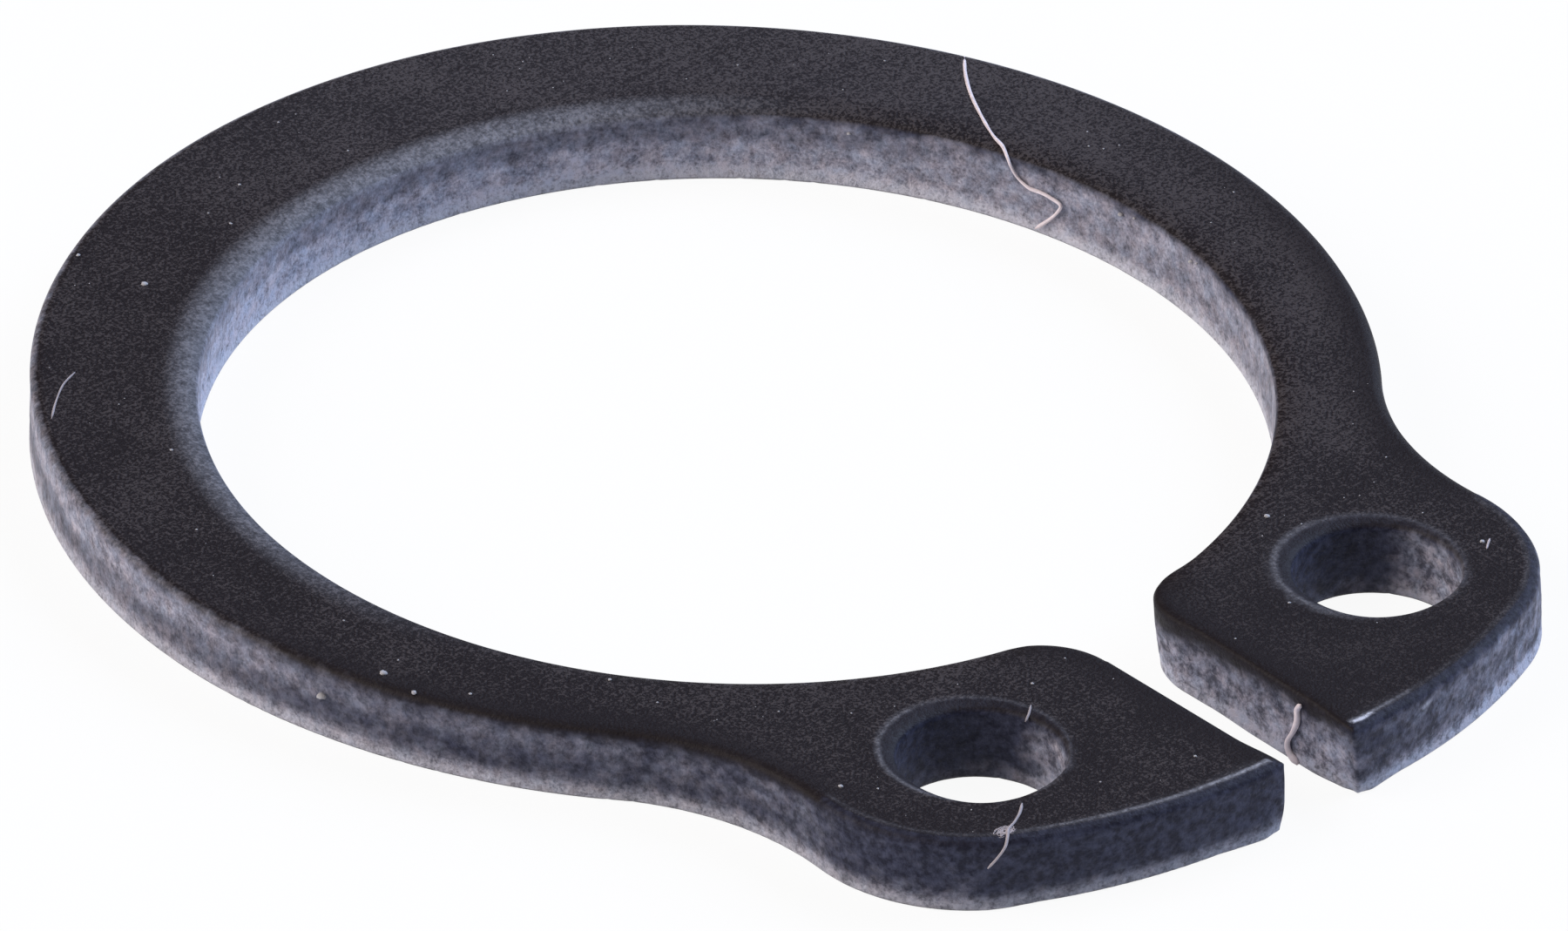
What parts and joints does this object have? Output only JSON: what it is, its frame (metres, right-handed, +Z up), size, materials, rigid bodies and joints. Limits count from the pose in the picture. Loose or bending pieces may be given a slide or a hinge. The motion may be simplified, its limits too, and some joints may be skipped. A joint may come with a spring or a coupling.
{
  "type": "external retaining ring",
  "caption": "Black spring steel retaining ring for a shaft groove, tapered towards its slot, with a lug and a plier hole on each side of it.",
  "frame": {"origin": "axis of the inner circle, in the plane of the underside that the ring lies on", "axes": "+Z up out of the punched side with the rolled edges, along the shaft; +Y from the slot towards the widest part of the ring; +X to the right seen from above with the slot at the front"},
  "size_m": [0.0162, 0.019, 0.001],
  "materials": {
    "blackened_steel": "satin",
    "lint": "matte"
  },
  "bodies": {
    "root": {"retaining_ring": "blackened_steel"}
  },
  "joints": []
}
